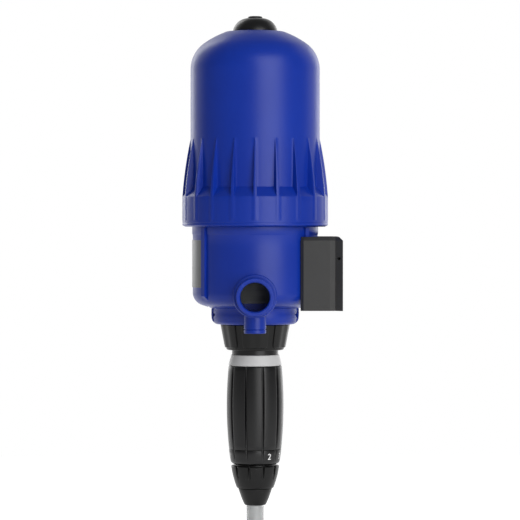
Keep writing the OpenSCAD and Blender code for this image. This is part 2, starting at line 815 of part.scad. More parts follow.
module trip_rod() {
    bar_z = piston_z - 12;
    pin_z = rocker_z + trip_travel / 2;
    color("silver") placed() {
        rod(bar_z, trip_top, trip_rod_r);
        rod(trip_top - 3, trip_top, strike_ring_r - 0.5);
        translate([-prong_x - prong_r, -prong_r, bar_z]) cube([2 * (prong_x + prong_r), 2 * prong_r, 6]);
        for (s = [-1, 1]) translate([s * prong_x, 0, 0]) rod(pilot_top + free_gap, bar_z + 1, prong_r);
        cross_rod(0, -rocker_y - rocker_t + 0.2, rocker_y + rocker_t - 0.2, pin_z, 1.5);
    }
}

// One rocker: a slotted arm towards the rod, a short arm towards the carrier
module rocker(side) {
    y0 = side > 0 ? -rocker_y - rocker_t : rocker_y;
    pin_y0 = side > 0 ? y0 + rocker_t - 0.2 : y0 - 2.8;
    long_end = rocker_arm + 4.8;
    short_end = rocker_out + 2.2;
    translate([side * rocker_arm, 0, rocker_z]) rotate([0, side * rocker_swing / 2, 0]) {
        difference() {
            union() {
                cross_rod(0, y0, y0 + rocker_t, 0, 4);
                translate([side > 0 ? -long_end : -short_end, y0, -2.6])
                    cube([long_end + short_end, rocker_t, 5.2]);
            }
            cross_rod(0, y0 - eps, y0 + rocker_t + eps, 0, rocker_pin_r + running_gap);
            for (x = [-1.2, 1.2]) cross_rod(-side * rocker_arm + x, y0 - eps, y0 + rocker_t + eps, 0, 1.8);
            translate([-side * rocker_arm - 1.2, y0 - eps, -1.8]) cube([2.4, rocker_t + 2 * eps, 3.6]);
        }
        cross_rod(side * rocker_out, pin_y0, pin_y0 + 3, 0, 1.3);
    }
}

module rocker_left() {
    color("#8a8a8a") placed() rocker(-1);
}

module rocker_right() {
    color("#8a8a8a") placed() rocker(1);
}

module valve_carrier() {
    color("#5c5c5c") placed() {
        tube(carrier_z, carrier_z + carrier_t, carrier_out_r, carrier_in_r);
        for (s = [-1, 1]) {
            y0 = s > 0 ? -rocker_y + rocker_gap + 0.2 : rocker_y - 2.6 - rocker_gap;
            difference() {
                union() {
                    translate([s > 0 ? lug_x - 3 : -lug_x - 5, y0, carrier_z])
                        cube([8, 2.2, lug_pin_z - carrier_z + 4]);
                    translate([s > 0 ? lug_x + 1 : -lug_x - 5, y0, carrier_z]) cube([4, 2.2, carrier_t]);
                }
                for (x = [-0.6, 0.6]) cross_rod(s * lug_x + x, y0 - eps, y0 + 3, lug_pin_z, 1.6);
                translate([s * lug_x - 0.6, y0 - eps, lug_pin_z - 1.6]) cube([1.2, 3.5, 3.2]);
            }
        }
    }
}

module valve_stack(angles, z_head, z_end) {
    for (a = angles) rotate([0, 0, a]) translate([valve_ring_r, 0, 0]) {
        rod(min(z_head, z_end), max(z_head, z_end), 1.8);
        rod(z_head, z_head + 3, valve_head_r);
    }
}

module upper_valves() {
    color("#1c1c1c") placed() valve_stack([45, 225], piston_top + free_gap, carrier_z);
}

module lower_valves() {
    color("#1c1c1c") placed()
        valve_stack([135, 315], piston_z - free_gap - valve_travel - 3, carrier_z);
}

// Ring nut that holds the dosing stem to the body
module ring_nut() {
    tilt = atan((ring_nut_r - ring_nut_foot_r) / ring_nut_h);
    scoop_r = 14;
    color("#262626") placed() difference() {
        union() {
            translate([0, 0, nut_foot])
                cylinder(h = ring_nut_h, r1 = ring_nut_foot_r - pad_h, r2 = ring_nut_r - pad_h);
            intersection() {
                rotate_extrude() polygon([
                    [spigot_r, nut_foot + 1.9], [ring_nut_foot_r - 1, nut_foot + 1.9],
                    [ring_nut_foot_r + 0.3, nut_foot + 3.2], [ring_nut_r, nut_top], [spigot_r, nut_top]
                ]);
                for (i = [0:5]) rotate([0, 0, -90 + i * 60]) translate([0, 0, nut_foot])
                    linear_extrude(ring_nut_h)
                        polygon([[0, 0], far * [cos(24), -sin(24)], far * [cos(24), sin(24)]]);
            }
        }
        rod(flange_foot - seat_gap, nut_top + eps, spigot_r + seat_gap);
        rod(nut_foot - eps, flange_foot, stem_neck_r + seat_gap);
        for (i = [0:5]) rotate([0, 0, -90 + i * 60])
            translate([ring_nut_foot_r + scoop_r - 0.5, 0, nut_foot + 2]) rotate([0, tilt, 0])
                cylinder(h = ring_nut_h + 4, r = scoop_r);
    }
}

module dosing_stem() {
    slot_z = lug_z - free_gap;
    slot_h = lug_h + dose_travel + 2 * free_gap;
    color("#232323") placed() difference() {
        union() {
            rod(flange_foot, pilot_top, spigot_bore - 2 * seat_gap);
            rod(flange_foot, flange_top, spigot_r - seat_gap);
            rod(lock_top, flange_foot + eps, stem_neck_r);
            rod(stem_step, lock_top, stem_r);
            rod(stem_foot, stem_step, stem_thread_r);
        }
        rod(stem_foot - eps, pilot_top - bridge_t, stem_bore);
        rod(stem_foot, pilot_top + eps, rod_r + running_gap);
        for (s = [-1, 1]) translate([0, s * 9, 0]) rod(pilot_top - 3, pilot_top + eps, 3.4);
        tube(flange_top + 1, flange_top + 2.6, spigot_bore + 2, spigot_bore - 1.4);
        translate([-far / 2, -lug_half - running_gap, slot_z])
            cube([far, 2 * (lug_half + running_gap), slot_h]);
    }
}

module stem_seal() {
    color("black") placed() o_ring(flange_top + 1.8, spigot_bore - 0.65, 0.6);
}

module lock_ring() {
    bevel = 0.9;
    bore = stem_r + running_gap;
    color("#b5b5b5") placed() rotate_extrude() polygon([
        [bore, lock_foot], [lock_foot_r - bevel, lock_foot], [lock_foot_r, lock_foot + bevel],
        [lock_top_r, lock_top - bevel - running_gap], [lock_top_r - bevel, lock_top - running_gap],
        [bore, lock_top - running_gap]
    ]);
}

// Adjusting sleeve with its grip grooves, and the scale ring under it
module grip_grooves(z0, z1, floor_r, first) {
    for (i = [0:grip_count - 1]) rotate([0, 0, first - 90 + i * 360 / grip_count]) {
        translate([floor_r + grip_w / 2, 0, 0]) rod(z0, z1, grip_w / 2);
        translate([floor_r + grip_w / 2, -grip_w / 2, z0]) cube([6, grip_w, z1 - z0]);
    }
}

module adjusting_sleeve() {
    color("#1e1e1e") placed() difference() {
        rotate_extrude() polygon(concat(
            [[stem_r + running_gap, sleeve_foot - 2.6], [stem_r + 1.5, sleeve_foot - 2.6],
             [stem_r + 1.5, sleeve_foot], [sleeve_foot_r - 0.5, sleeve_foot]],
            arch([sleeve_foot_r, sleeve_foot + 0.5], [sleeve_top_r, sleeve_top - 0.5], sleeve_bulge, 16),
            [[sleeve_top_r - 0.5, sleeve_top], [stem_r + running_gap, sleeve_top]]
        ));
        tube(lug_z - 3, lug_z + lug_h + dose_travel + 3, relief_r, stem_r - 1);
        grip_grooves(sleeve_foot - eps, sleeve_top + eps, grip_floor_r, grip_angle);
    }
}

module scale_ring() {
    lip = stem_step - free_gap;
    color("#1e1e1e") placed() difference() {
        rotate_extrude() polygon([
            [stem_thread_r + free_gap, scale_foot], [scale_foot_r - 2.8, scale_foot],
            [scale_foot_r, scale_foot + 1.9], [scale_foot_r + 0.6, scale_foot + 4.4],
            [sleeve_foot_r, sleeve_foot - 0.6], [sleeve_foot_r - 0.6, sleeve_foot],
            [stem_r + 1.5 + seat_gap, sleeve_foot], [stem_r + 1.5 + seat_gap, sleeve_foot - 2.6 - seat_gap],
            [stem_r + free_gap, sleeve_foot - 2.6 - seat_gap],
            [stem_r + free_gap, lip], [stem_thread_r + free_gap, lip]
        ]);
        grip_grooves(scale_foot - eps, sleeve_foot + eps, grip_floor_r, grip_angle);
    }
}

module dosing_cylinder() {
    color("#d8d8d0") placed() difference() {
        union() {
            rod(cylinder_foot, cylinder_foot + cylinder_h, cylinder_r);
            intersection() {
                translate([-far / 2, -lug_half, lug_z]) cube([far, 2 * lug_half, lug_h]);
                rod(lug_z, lug_z + lug_h, relief_r - free_gap);
            }
        }
        rod(cylinder_foot - eps, cylinder_foot + cylinder_h + eps, cylinder_bore);
        tube(cylinder_foot + 6, cylinder_foot + 8, cylinder_r + 2, cylinder_r - 1.3);
    }
}

module cylinder_seal() {
    color("black") placed() tube(cylinder_foot + 6 + seat_gap, cylinder_foot + 8 - seat_gap,
        stem_bore - running_gap, cylinder_r - 1.3 + seat_gap);
}

// Suction end
module retaining_nut() {
    color("#1e1e1e") placed() difference() {
        rotate_extrude() polygon(concat(
            [[0, retainer_foot], [hose_nut_r, retainer_foot]],
            arch([retainer_foot_r - 0.4, retainer_foot + 0.4], [retainer_r, retainer_top - 0.5], 0.5, 8),
            [[retainer_r - 0.5, retainer_top], [0, retainer_top]]
        ));
        rod(valve_flange_foot, retainer_top + eps, stem_thread_r + running_gap);
        rod(retainer_foot - eps, retainer_top, 6.3);
        grip_grooves(retainer_foot + 2, retainer_top + eps, retainer_floor_r, retainer_angle);
    }
}

module valve_gasket() {
    color("black") placed() tube(gasket_foot, stem_foot, stem_thread_r - 0.2, stem_bore - 0.6);
}

module suction_valve_body() {
    color("#d8d8d0") placed() difference() {
        union() {
            rod(valve_flange_foot, gasket_foot, stem_thread_r - 0.2);
            rod(gasket_foot - eps, valve_tube_top, 9);
            rod(nipple_foot, valve_flange_foot + eps, 6.1);
        }
        rod(valve_seat_z, valve_tube_top + eps, 6.6);
        rod(nipple_foot - eps, valve_seat_z + eps, 3);
    }
}

module check_valve_cap() {
    color("#d8d8d0") placed() difference() {
        rod(valve_tube_top, valve_tube_top + valve_cap_t, 9);
        rod(valve_tube_top - eps, valve_tube_top + valve_cap_t + eps, 1.9);
        for (a = [0:90:270]) rotate([0, 0, a + 45]) translate([5.4, 0, 0])
            rod(valve_tube_top - eps, valve_tube_top + valve_cap_t + eps, 1.4);
    }
}

module check_valve_poppet() {
    color("#303030") placed() {
        rod(poppet_foot, poppet_foot + poppet_t, poppet_r);
        rod(poppet_foot + poppet_t, valve_tube_top + 0.4, 1.6);
    }
}

module check_valve_spring() {
    z0 = poppet_foot + poppet_t + seat_gap;
    color("silver") placed() coil_spring(z0, valve_tube_top - seat_gap, 3, 0.4, 4);
}

module hose_nut() {
    color("#1e1e1e") placed() difference() {
        rotate_extrude() polygon(concat(
            [[0, hose_nut_foot], [hose_nut_foot_r - 1, hose_nut_foot]],
            arch([hose_nut_foot_r, hose_nut_foot + 1], [hose_nut_r, hose_nut_top], 0.3, 6),
            [[0, hose_nut_top]]
        ));
        rod(nipple_foot, hose_nut_top + eps, 6.1 + running_gap);
        rod(hose_nut_foot - eps, nipple_foot + eps, hose_d / 2 + free_gap);
    }
}

// Tube with a round section swept along points
function unit(v) = v / norm(v);
function heading(p, i) = unit(p[min(i + 1, len(p) - 1)] - p[max(i - 1, 0)]);
module swept(p, r, sides) {
    n = len(p);
    side = [1, 0, 0];
    rings = [
        for (i = [0:n - 1]) let (up = cross(heading(p, i), side))
            for (k = [0:sides - 1]) p[i] + r * (cos(k * 360 / sides) * side + sin(k * 360 / sides) * up)
    ];
    walls = [
        for (i = [0:n - 2]) for (k = [0:sides - 1])
            [for (corner = [[i, k], [i, k + 1], [i + 1, k + 1], [i + 1, k]])
                corner[0] * sides + corner[1] % sides]
    ];
    polyhedron(points = rings, faces = concat(
        [[for (k = [sides - 1:-1:0]) k]], walls, [[for (k = [0:sides - 1]) (n - 1) * sides + k]]
    ), convexity = 4);
}

function on_coil(x, a) = [x, -coil_r * cos(a), coil_z - coil_r * sin(a)];

module suction_hose() {
    drop = [for (p = hose_drop) [hose_x, p[0], p[1]]];
    first_turn = [for (a = [15:15:120]) on_coil(hose_x, a)];
    tail = concat([for (a = [-30:15:0]) on_coil(tail_x, a)], [[tail_x, -coil_r, strainer_top]]);
    color("gainsboro") {
        swept(concat(drop, first_turn), hose_d / 2, 12);
        swept(tail, hose_d / 2, 12);
    }
}

module hose_coil() {
    color("gainsboro") translate([hose_x + layer + 0.1, 0, coil_z]) rotate([0, 90, 0]) rotate_extrude()
        translate([coil_r, 0]) {
            circle(r = hose_d / 2, $fn = 48);
            translate([-hose_d / 2, 0]) square([hose_d, layer]);
            translate([0, layer]) circle(r = hose_d / 2, $fn = 48);
        }
}

module hose_tie() {
    t = 1.2;
    x0 = hose_x - hose_d / 2 - free_gap;
    x1 = tail_x + hose_d / 2 + free_gap;
    y0 = -coil_r - hose_d / 2 - free_gap;
    y1 = -coil_r + hose_d / 2 + 2.4;
    color("black") translate([0, 0, coil_z + 6]) difference() {
        translate([x0 - t, y0 - t, 0]) cube([x1 - x0 + 2 * t, y1 - y0 + 2 * t, 8]);
        translate([x0, y0, -eps]) cube([x1 - x0, y1 - y0, 8 + 2 * eps]);
    }
}

module foot_strainer() {
    color("#262626") translate([tail_x, -coil_r, strainer_top]) difference() {
        union() {
            rod(-12, 0, 7.4);
            translate([0, 0, -16]) cylinder(h = 4, r1 = 9, r2 = 7.4);
            rod(-60, -16, 9);
        }
        rod(-57, -14, 7.2);
        for (i = [0:7]) rotate([0, 0, i * 45]) translate([5, -1, -52]) cube([6, 2, 32]);
    }
}

bell_housing();
lower_body();
wall_bracket();
bell_seal();
piston_liner();
liner_seal();
bleed_button();
bleed_stem();
bleed_seal();
bleed_spring();
piston_body();
piston_seal();
small_piston();
small_piston_seal();
plunger_rod();
plunger();
plunger_seal();
valve_cage();
pivot_pins();
toggle_springs();
trip_rod();
rocker_left();
rocker_right();
valve_carrier();
upper_valves();
lower_valves();
ring_nut();
dosing_stem();
stem_seal();
lock_ring();
adjusting_sleeve();
scale_ring();
dosing_cylinder();
cylinder_seal();
retaining_nut();
valve_gasket();
suction_valve_body();
check_valve_cap();
check_valve_poppet();
check_valve_spring();
hose_nut();
suction_hose();
hose_coil();
hose_tie();
foot_strainer();
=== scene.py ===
import math

import bmesh
import bpy
from mathutils import Matrix, Vector


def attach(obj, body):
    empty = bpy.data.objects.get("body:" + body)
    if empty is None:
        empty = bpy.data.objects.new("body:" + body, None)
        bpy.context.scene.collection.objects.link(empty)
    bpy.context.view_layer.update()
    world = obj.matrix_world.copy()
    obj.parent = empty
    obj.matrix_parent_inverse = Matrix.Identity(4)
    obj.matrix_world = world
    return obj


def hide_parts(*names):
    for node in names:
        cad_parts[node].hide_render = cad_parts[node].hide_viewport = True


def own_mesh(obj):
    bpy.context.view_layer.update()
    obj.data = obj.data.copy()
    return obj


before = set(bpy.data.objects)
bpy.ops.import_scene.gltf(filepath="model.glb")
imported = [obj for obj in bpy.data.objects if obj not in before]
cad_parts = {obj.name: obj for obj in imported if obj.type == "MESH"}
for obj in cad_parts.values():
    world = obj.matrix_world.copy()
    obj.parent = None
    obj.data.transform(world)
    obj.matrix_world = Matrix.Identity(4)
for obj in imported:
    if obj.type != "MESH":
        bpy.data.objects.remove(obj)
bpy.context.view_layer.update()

# The pump is modelled in millimetres about its own axis, with heights from the joint between
# bell and body, and each finished piece is then set in its place on the wall.
MM = 0.001
AXIS_X, JOINT_Z = -0.0623, 0.0334      # from the wall mount, in metres
PLACE = Matrix.Translation((AXIS_X, 0, JOINT_Z)) @ Matrix.Scale(MM, 4)
ORIGIN, UP = (0, 0, 0), (0, 0, 1)


def linked(name, data):
    """A new object in the scene."""
    made = bpy.data.objects.new(name, data)
    bpy.context.scene.collection.objects.link(made)
    return made


# Camera at the photograph's angle: square to the outlet, looking down by less than a degree
camera = linked("camera", bpy.data.cameras.new("camera"))
camera.location = (-0.0588, -1.969, 0.0399)
camera.rotation_euler = (math.radians(90 - 0.8886), 0, 0)
camera.data.lens = 188.8
camera.data.sensor_width = 36
camera.data.clip_end = 60
bpy.context.scene.camera = camera


# Mesh making

TURNED_STEPS = 128      # facets of a large turned piece
ARC_STEP = 6            # degrees between the points of a rounded profile
EDGE_ANGLE = 32         # degrees from which an edge is rounded or sharp


def blend(a, b, t):
    return a + (b - a) * t


def as_object(bm, name):
    mesh = bpy.data.meshes.new(name)
    bm.to_mesh(mesh)
    bm.free()
    return linked(name, mesh)


def smooth_but(mesh, sharp):
    """Smooth shading, but for the edges that turn by more than an angle."""
    mesh.shade_smooth()
    mesh.set_sharp_from_angle(angle=math.radians(sharp))


def finished(bm, name, place=PLACE, sharp=38):
    """Turns a bmesh into an object with its place in its mesh, smooth but for its sharp edges."""
    bmesh.ops.remove_doubles(bm, verts=bm.verts, dist=1e-4)
    bmesh.ops.recalc_face_normals(bm, faces=bm.faces)
    bm.transform(place)
    piece = as_object(bm, name)
    smooth_but(piece.data, sharp)
    return piece


def worked_out(shape):
    """The mesh of an object with its modifiers, or of a curve."""
    bpy.context.view_layer.update()
    return bpy.data.meshes.new_from_object(shape.evaluated_get(bpy.context.evaluated_depsgraph_get()))


def drawn(curve):
    """The mesh of a curve or of text, to be worked on."""
    shape = linked("drawn", curve)
    bm = bmesh.new()
    bm.from_mesh(worked_out(shape))
    bpy.data.objects.remove(shape)
    return bm


def swung(bm, turn):
    """Turns all that the bmesh holds about the axis."""
    bmesh.ops.rotate(bm, verts=bm.verts[:], cent=ORIGIN, matrix=Matrix.Rotation(math.radians(turn), 3, "Z"))
    return bm


def placed(where, turn=0, axis="X"):
    """A place on the pump, turned about one direction."""
    return PLACE @ Matrix.Translation(where) @ Matrix.Rotation(math.radians(turn), 4, axis)


def outline(bm, start, *moves):
    """A profile in the XZ plane: straight to each (r, z), or round a centre as (cx, cz, degrees)."""
    made = [bm.verts.new((start[0], 0, start[1]))]
    for move in moves:
        if len(move) == 2:
            made.append(bm.verts.new((move[0], 0, move[1])))
            bm.edges.new(made[-2:])
        else:
            cx, cz, turn = move
            arc = bmesh.ops.spin(bm, geom=[made[-1]], cent=(cx, 0, cz), axis=(0, 1, 0),
                                 angle=math.radians(-turn), steps=max(3, int(abs(turn) / ARC_STEP)))
            made.append(arc["geom_last"][0])
    return made


def spun(bm, steps, turn=360):
    """Spins all that the bmesh holds round the axis."""
    bmesh.ops.spin(bm, geom=bm.verts[:] + bm.edges[:], cent=ORIGIN, axis=UP, angle=math.radians(turn),
                   steps=steps, use_merge=turn == 360)


def helix(bm, pitch, turns, steps):
    """Winds all that the bmesh holds up round the axis, with so many steps in a turn."""
    total = int(steps * turns)
    bmesh.ops.spin(bm, geom=bm.verts[:] + bm.edges[:] + bm.faces[:], cent=ORIGIN, axis=UP,
                   dvec=(0, 0, pitch / steps), angle=math.radians(360) * total / steps, steps=total)


def turned(name, start, *moves, steps=TURNED_STEPS, close=True, place=PLACE):
    """A lathe-turned piece from its profile."""
    bm = bmesh.new()
    made = outline(bm, start, *moves)
    if close:
        bm.edges.new((made[-1], made[0]))
    spun(bm, steps)
    return finished(bm, name, place)


def bridged(rings):
    """Skins a row of closed outlines that have the same number of points, and the last to the first."""
    bm = bmesh.new()
    loops = []
    for ring in rings:
        verts = [bm.verts.new(p) for p in ring]
        loops.append([bm.edges.new(pair) for pair in zip(verts, verts[1:] + verts[:1])])
    for low, high in zip(loops, loops[1:] + loops[:1]):
        bmesh.ops.bridge_loops(bm, edges=low + high)
    return bm


def sector_ring(z, half, count, first=-90.0):
    """An outline of equal sectors: half is one half sector as (degrees, radius), from its middle out."""
    one = [(-a, r) for a, r in reversed(half)] + [(a, r) for a, r in half if a > 0]
    ring = []
    for k in range(count):
        for a, r in one[:-1]:
            turn = math.radians(first + k * 360 / count + a)
            ring.append(Vector((r * math.cos(turn), r * math.sin(turn), z)))
    return ring


def extruded(points, along):
    """A block from its flat outline."""
    bm = bmesh.new()
    face = bm.faces.new([bm.verts.new(p) for p in points])
    grown = bmesh.ops.extrude_face_region(bm, geom=[face])
    moved = [v for v in grown["geom"] if isinstance(v, bmesh.types.BMVert)]
    bmesh.ops.translate(bm, verts=moved, vec=along)
    return bm


def slab(points, half, turn):
    """A plate drawn in the XZ plane, with half its thickness to each side, then turned about the axis."""
    return swung(extruded([(x, -half, z) for x, z in points], (0, 2 * half, 0)), turn)


def prism(points, low, high):
    """An upright block drawn in plan."""
    return extruded([(x, y, low) for x, y in points], (0, 0, high - low))


def block(low, high, turn=0.0):
    """A square block between two corners, turned about the axis."""
    bm = bmesh.new()
    low, high = Vector(low), Vector(high)
    bmesh.ops.create_cube(bm, size=1)
    bmesh.ops.scale(bm, verts=bm.verts[:], vec=high - low)
    bmesh.ops.translate(bm, verts=bm.verts[:], vec=(high + low) / 2)
    return swung(bm, turn)


def segment(name, points, start, turn, steps):
    """A part of a ring, from its section in the XZ plane."""
    bm = bmesh.new()
    bm.faces.new([bm.verts.new((x, 0, z)) for x, z in points])
    swung(bm, start)
    bmesh.ops.spin(bm, geom=bm.verts[:] + bm.edges[:] + bm.faces[:], cent=ORIGIN, axis=UP,
                   angle=math.radians(turn), steps=steps)
    return finished(bm, name)


def boolean(piece, cutter, operation="DIFFERENCE"):
    """Cuts or joins a piece for good, and removes the cutter."""
    step = piece.modifiers.new("step", "BOOLEAN")
    step.operation, step.object, step.solver = operation, cutter, "EXACT"
    baked = worked_out(piece)
    piece.modifiers.remove(step)
    piece.data = baked
    bpy.data.objects.remove(cutter)


def joined(name, *pieces):
    """Puts the meshes of several finished pieces into one piece."""
    bm = bmesh.new()
    for piece in pieces:
        bm.from_mesh(piece.data)
        bpy.data.objects.remove(piece)
    return as_object(bm, name)


def softened(piece, width):
    """Rounds the edges of a piece and evens its shading."""
    edge = piece.modifiers.new("edge", "BEVEL")
    edge.width, edge.segments, edge.limit_method = width * MM, 2, "ANGLE"
    edge.angle_limit = math.radians(EDGE_ANGLE)
    edge.use_clamp_overlap = True
    even = piece.modifiers.new("even", "WEIGHTED_NORMAL")
    even.keep_sharp = True
    return piece


def coated(piece, finish):
    piece.data.materials.clear()
    piece.data.materials.append(finish)


def dressed(piece, body, finish, slot, *nodes):
    """Gives a piece its finish and its body, and hides the CAD nodes that it stands for."""
    coated(piece, finish)
    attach(piece, body)
    if nodes:
        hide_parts(*nodes)
    return piece


# Finishes

class Amount:
    """A shader value that sums and products can be written with."""

    def __init__(self, finish, socket):
        self.finish, self.socket = finish, socket

    def worked(self, operation, a, b):
        return self.finish.node("ShaderNodeMath", {"operation": operation}, **{"0": a, "1": b})

    def __add__(self, other):
        return self.worked("ADD", self, other)

    def __mul__(self, other):
        return self.worked("MULTIPLY", self, other)

    def __or__(self, other):
        """The greater of the two: one or the other where both are 0 or 1."""
        return self.worked("MAXIMUM", self, other)

    __radd__, __rmul__, __ror__ = __add__, __mul__, __or__


class Finish:
    """A material, or the world's, whose nodes are made one by one."""

    def __init__(self, name, owner=None):
        self.owner = owner or bpy.data.materials.new(name)
        self.owner.use_nodes = True
        self.tree = self.owner.node_tree
        self.tree.nodes.clear()

    def node(self, kind, settings=None, out=0, **inputs):
        """A node from its type, its settings and the values or links of its sockets, named or numbered."""
        made = self.tree.nodes.new(kind)
        for key, value in (settings or {}).items():
            if key == "stops":
                while len(made.color_ramp.elements) < len(value):
                    made.color_ramp.elements.new(0.5)
                for element, (at, colour) in zip(made.color_ramp.elements, value):
                    element.position, element.color = at, (*colour, 1)
            else:
                setattr(made, key, value)
        for key, value in inputs.items():
            socket = made.inputs[int(key)] if key.isdigit() else made.inputs[key.replace("_", " ")]
            if isinstance(value, Amount):
                self.tree.links.new(value.socket, socket)
            else:
                socket.default_value = value
        return Amount(self, made.outputs[out])

    def noise(self, scale, detail=3.0, roughness=0.5, stretch=(1, 1, 1)):
        place = self.node("ShaderNodeTexCoord", out="Object")
        at = self.node("ShaderNodeMapping", Vector=place, Scale=stretch)
        return self.node("ShaderNodeTexNoise", Vector=at, Scale=scale, Detail=detail, Roughness=roughness)

    def tone(self, amount, *stops):
        return self.node("ShaderNodeValToRGB", {"stops": stops}, Fac=amount)

    def bump(self, height, strength, distance, **more):
        return self.node("ShaderNodeBump", Height=height, Strength=strength, Distance=distance, **more)

    def surface(self, **inputs):
        return self.output(self.node("ShaderNodeBsdfPrincipled", **inputs))

    def either(self, share, first, second):
        return self.node("ShaderNodeMixShader", **{"0": share, "1": first, "2": second})

    def output(self, shader, kind="ShaderNodeOutputMaterial"):
        end = self.tree.nodes.new(kind)
        self.tree.links.new(shader.socket, end.inputs["Surface"])
        return self.owner


def shade(r, g, b):
    """A screen colour, 0 to 255, as the shader's own."""
    return tuple(((c / 255 + 0.055) / 1.055) ** 2.4 if c > 10 else c / 255 / 12.92 for c in (r, g, b))


def moulded(name, dark, light, rough, grain=0.05, gloss=0.3):
    """Moulded plastic: slow tone changes, a fine spark-eroded grain and a little unevenness in its gloss."""
    f = Finish(name)
    cloud = f.noise(18, detail=4)
    speck = f.noise(2600, detail=2)
    smear = f.noise(60, detail=5, roughness=0.6)
    return f.surface(
        Base_Color=f.tone(cloud * 0.8 + speck * 0.2, (0.3, dark), (0.7, light)),
        Roughness=smear * 0.10 + speck * 0.06 + (rough - 0.08),
        Normal=f.bump(speck, grain, 0.0002, Normal=f.bump(cloud, 0.03, 0.0008)),
        Specular_IOR_Level=gloss,
    )


def drawn_steel():
    f = Finish("drawn_steel")
    lines = f.noise(900, detail=3, stretch=(1, 1, 0.04))
    return f.surface(
        Base_Color=f.tone(lines, (0.3, shade(176, 177, 180)), (0.7, shade(206, 207, 210))),
        Metallic=1.0,
        Roughness=lines * 0.16 + 0.2,
        Normal=f.bump(lines, 0.08, 0.0001),
    )


def clear_vinyl():
    f = Finish("clear_vinyl")
    haze = f.noise(90, detail=4)
    return f.surface(
        Base_Color=f.tone(haze, (0.3, (0.58, 0.59, 0.59)), (0.7, (0.63, 0.64, 0.64))),
        Roughness=haze * 0.02 + 0.01,
        IOR=1.42,
        Transmission_Weight=0.6,
    )


def label_foil():
    f = Finish("label_foil")
    lines = f.noise(700, detail=2, stretch=(1, 1, 0.1))
    return f.surface(
        Base_Color=f.tone(lines, (0.3, shade(72, 74, 76)), (0.7, shade(84, 86, 88))),
        Metallic=0.35,
        Roughness=lines * 0.1 + 0.34,
    )


def print_white():
    f = Finish("print_white")
    wear = f.noise(1500, detail=3)
    return f.surface(
        Base_Color=f.tone(wear, (0.2, shade(214, 214, 214)), (0.6, shade(244, 244, 244))),
        Roughness=wear * 0.1 + 0.45,
    )


BLUE = moulded("moulded_blue", shade(6, 42, 144), shade(9, 48, 155), 0.36, gloss=0.28)
BLACK = moulded("satin_black", shade(11, 11, 12), shade(17, 17, 18), 0.34, gloss=0.3)
NUT_BLACK = moulded("nut_black", shade(11, 11, 11), shade(17, 17, 17), 0.34, grain=0.09, gloss=0.2)
CHARCOAL = moulded("bracket_charcoal", shade(49, 49, 49), shade(56, 56, 56), 0.55, grain=0.12)
PALE_GREY = moulded("ring_grey", shade(190, 190, 190), shade(202, 202, 202), 0.45)
LINER_GREY = moulded("liner_grey", shade(132, 134, 130), shade(144, 146, 142), 0.5)
INNER_GREY = moulded("gear_grey", shade(110, 112, 114), shade(126, 128, 130), 0.5)
NATURAL = moulded("natural_plastic", shade(206, 204, 188), shade(218, 216, 202), 0.38)
RUBBER = moulded("seal_rubber", shade(18, 18, 18), shade(26, 26, 26), 0.7, grain=0.2)
STEEL, VINYL, FOIL, WHITE_PRINT = drawn_steel(), clear_vinyl(), label_foil(), print_white()


# Suction hose: straight out of its nut, then two turns of a ring, with a tie and a strainer.
# Its heights and distances are from the wall mount, as the frame's are, in millimetres.

HOSE_D, HOSE_WALL = 12.7, 1.9
HOSE_DROP = (
    (0, -161.6), (0, -175), (0, -185), (0, -195), (-2, -210.5), (-8, -225), (-17.5, -237.5),
    (-30, -247), (-40, -252), (-52.5, -261.5), (-62, -274), (-68, -288.5), (-70, -304),
)
COIL_R, COIL_Z, COIL_STEP = 70, -304, 15
HOSE_X, SECOND_X, THIRD_X, TAIL_X = -62.3, -49.4, -36.5, -20.4
COIL_SHIFTS = ((120, 240, HOSE_X, SECOND_X), (480, 600, SECOND_X, THIRD_X), (600, 690, THIRD_X, TAIL_X))
STRAINER_TOP, BARB = -316, 4
FROM_MOUNT = Matrix.Scale(MM, 4)


def coil_x(a):
    """How far over the turns have moved: each new turn lies beside the one before it."""
    for a0, a1, x0, x1 in COIL_SHIFTS:
        if a < a0:
            return x0
        if a < a1:
            t = (a - a0) / (a1 - a0)
            return x0 + (x1 - x0) * t * t * (3 - 2 * t)
    return TAIL_X


def hose_route():
    line = [(HOSE_X, y, z) for y, z in HOSE_DROP]
    for a in range(COIL_STEP, 2 * 360 + 1, COIL_STEP):
        turn = math.radians(a)
        line.append((coil_x(a), -COIL_R * math.cos(turn), COIL_Z - COIL_R * math.sin(turn)))
    line.append((TAIL_X, -COIL_R, STRAINER_TOP + BARB))
    return [[c * MM for c in place] for place in line]


def make_hose(route):
    """The clear hose, a round tube drawn along its route, with a real wall."""
    curve = bpy.data.curves.new("hose_line", "CURVE")
    curve.dimensions = "3D"
    curve.bevel_depth, curve.bevel_resolution = HOSE_D / 2 * MM, 12
    spline = curve.splines.new("BEZIER")
    spline.bezier_points.add(len(route) - 1)
    spline.resolution_u = 5
    for point, place in zip(spline.bezier_points, route):
        point.co = place
        point.handle_left_type = point.handle_right_type = "AUTO"
    hose = finished(drawn(curve), "suction_hose_tube", Matrix(), sharp=70)
    wall = hose.modifiers.new("wall", "SOLIDIFY")
    wall.thickness, wall.offset, wall.use_rim = HOSE_WALL * MM, -1, True
    return hose


